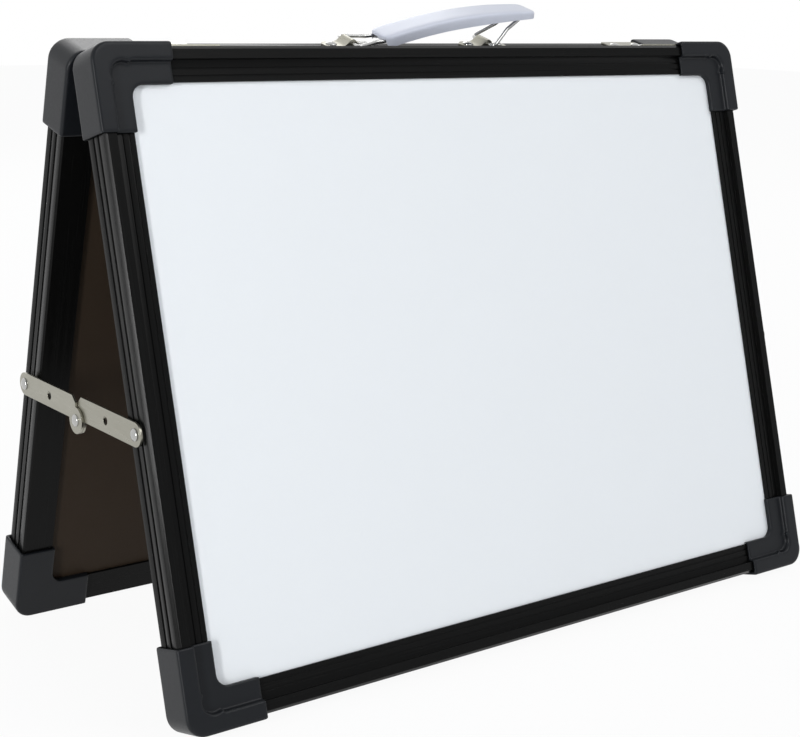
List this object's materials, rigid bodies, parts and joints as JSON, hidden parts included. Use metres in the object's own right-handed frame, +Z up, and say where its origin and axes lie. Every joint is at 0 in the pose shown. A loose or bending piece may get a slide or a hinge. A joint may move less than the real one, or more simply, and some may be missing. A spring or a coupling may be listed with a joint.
{
  "type": "folding desk whiteboard easel",
  "caption": "Folding A-frame desk easel: magnetic whiteboards hinged at the top, jointed side stays and a hinged carrying handle.",
  "frame": {"origin": "on the desk, midway between the boards' feet and on the easel's middle line", "axes": "+X across the boards, +Y from the front board to the rear board, +Z up"},
  "size_m": [0.4096, 0.2022, 0.3163],
  "materials": {
    "frame_aluminium": "black anodised, satin",
    "cap_plastic": "moulded, fine satin",
    "enamelled_steel": "glossy white enamel",
    "core_board": "raw fibreboard",
    "backing_board": "dark brown, matt",
    "nickel_plate": "nickel plated",
    "bright_rivet": "polished",
    "steel_wire": "bright drawn wire",
    "grip_plastic": "pale grey, satin"
  },
  "bodies": {
    "front_board": {"front_rail_top": "frame_aluminium", "front_rail_bottom": "frame_aluminium", "front_rail_left": "frame_aluminium", "front_rail_right": "frame_aluminium", "front_cap_top_left": "cap_plastic", "front_cap_top_right": "cap_plastic", "front_cap_bottom_left": "cap_plastic", "front_cap_bottom_right": "cap_plastic", "front_writing_sheet": "enamelled_steel", "front_core": "core_board", "front_backing": "backing_board", "hinge_front_leaf_left": "nickel_plate", "hinge_front_leaf_right": "nickel_plate", "hinge_pins": "bright_rivet", "hinge_rivets_front": "bright_rivet", "stay_spacers_front": "nickel_plate", "stay_rivets_front": "bright_rivet"},
    "rear_board": {"rear_rail_top": "frame_aluminium", "rear_rail_bottom": "frame_aluminium", "rear_rail_left": "frame_aluminium", "rear_rail_right": "frame_aluminium", "rear_cap_top_left": "cap_plastic", "rear_cap_top_right": "cap_plastic", "rear_cap_bottom_left": "cap_plastic", "rear_cap_bottom_right": "cap_plastic", "rear_writing_sheet": "enamelled_steel", "rear_core": "core_board", "rear_backing": "backing_board", "hinge_rear_leaf_left": "nickel_plate", "hinge_rear_leaf_right": "nickel_plate", "hinge_rivets_rear": "bright_rivet", "stay_spacers_rear": "nickel_plate", "stay_rivets_rear": "bright_rivet", "handle_bracket_left": "nickel_plate", "handle_bracket_right": "nickel_plate", "handle_bracket_rivets": "bright_rivet"},
    "stay_front_left": {"stay_front_arm_left": "nickel_plate"},
    "stay_rear_left": {"stay_rear_arm_left": "nickel_plate", "stay_knee_rivet_left": "bright_rivet"},
    "stay_front_right": {"stay_front_arm_right": "nickel_plate"},
    "stay_rear_right": {"stay_rear_arm_right": "nickel_plate", "stay_knee_rivet_right": "bright_rivet"},
    "handle_left_loop": {"handle_loop_left": "steel_wire"},
    "handle_right_loop": {"handle_loop_right": "steel_wire"},
    "handle_grip": {"handle_grip": "grip_plastic"}
  },
  "joints": [
    {"name": "board_fold", "type": "hinge", "parent": "front_board", "child": "rear_board", "pos_m": [0, 0, 0.2922], "axis": [-1, 0, 0], "range_deg": [0, 31]},
    {"name": "stay_front_left_turn", "type": "hinge", "parent": "front_board", "child": "stay_front_left", "pos_m": [-0.2015, -0.0555, 0.13117], "axis": [1, 0, 0], "range_deg": [0, 69.83]},
    {"name": "stay_rear_left_turn", "type": "hinge", "parent": "rear_board", "child": "stay_rear_left", "pos_m": [-0.2028, 0.0555, 0.13117], "axis": [-1, 0, 0], "range_deg": [0, 69.83]},
    {"name": "stay_front_right_turn", "type": "hinge", "parent": "front_board", "child": "stay_front_right", "pos_m": [0.2015, -0.0555, 0.13117], "axis": [1, 0, 0], "range_deg": [0, 69.83]},
    {"name": "stay_rear_right_turn", "type": "hinge", "parent": "rear_board", "child": "stay_rear_right", "pos_m": [0.2028, 0.0555, 0.13117], "axis": [-1, 0, 0], "range_deg": [0, 69.83]},
    {"name": "handle_lift", "type": "hinge", "parent": "rear_board", "child": "handle_left_loop", "pos_m": [-0.044, 0.01242, 0.29606], "axis": [0, -0.9636, -0.2672], "range_deg": [0, 80.01]},
    {"name": "right_loop_turn", "type": "hinge", "parent": "rear_board", "child": "handle_right_loop", "pos_m": [0.044, 0.01242, 0.29606], "axis": [0, -0.9636, -0.2672], "range_deg": [0, 56.56]},
    {"name": "grip_turn", "type": "hinge", "parent": "handle_left_loop", "child": "handle_grip", "pos_m": [-0.02109, 0.01188, 0.29799], "axis": [0, -0.9636, -0.2672], "range_deg": [-88.48, 0]}
  ],
  "couplings": [
    {"joint": "stay_front_left_turn", "follows": "board_fold", "ratio": 2.2509},
    {"joint": "stay_rear_left_turn", "follows": "board_fold", "ratio": 2.2509},
    {"joint": "stay_front_right_turn", "follows": "board_fold", "ratio": 2.2509},
    {"joint": "stay_rear_right_turn", "follows": "board_fold", "ratio": 2.2509},
    {"joint": "right_loop_turn", "follows": "handle_lift", "ratio": 0.70632},
    {"joint": "grip_turn", "follows": "handle_lift", "ratio": -1.1053}
  ]
}
